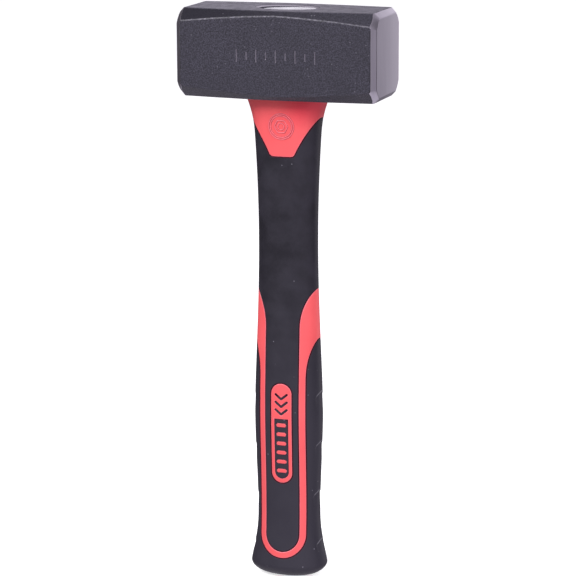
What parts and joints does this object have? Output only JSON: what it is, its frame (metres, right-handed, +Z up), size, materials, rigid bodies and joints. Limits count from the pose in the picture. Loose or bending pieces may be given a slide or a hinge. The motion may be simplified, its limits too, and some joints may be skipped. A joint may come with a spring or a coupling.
{
  "type": "lump hammer",
  "caption": "Short-handled lump hammer: chamfered block steel head with flat square faces on a fibreglass-cored two-colour soft-grip handle.",
  "frame": {"origin": "lowest point of the butt, on the handle axis, directly under the middle of the head", "axes": "+Z up the handle to the head, +X along the head towards one striking face, -Y towards the front of the handle"},
  "size_m": [0.094, 0.039, 0.266],
  "materials": {
    "forged_steel": "forged steel with a grainy anthracite coating, ground bare on the striking faces and their bevels",
    "cast_resin": "pale cured casting resin, glossy",
    "fibreglass": "pultruded glass-fibre rod, hidden inside the handle",
    "red_plastic": "satin coral-red hard plastic",
    "black_soft_plastic": "fine matte charcoal soft-touch rubber"
  },
  "bodies": {
    "root": {"head": "forged_steel", "eye_resin": "cast_resin", "fibreglass_core": "fibreglass", "handle_jacket": "red_plastic", "upper_soft_skin": "black_soft_plastic", "lower_soft_grip": "black_soft_plastic", "front_badge_field": "black_soft_plastic", "back_badge_field": "black_soft_plastic"}
  },
  "joints": []
}
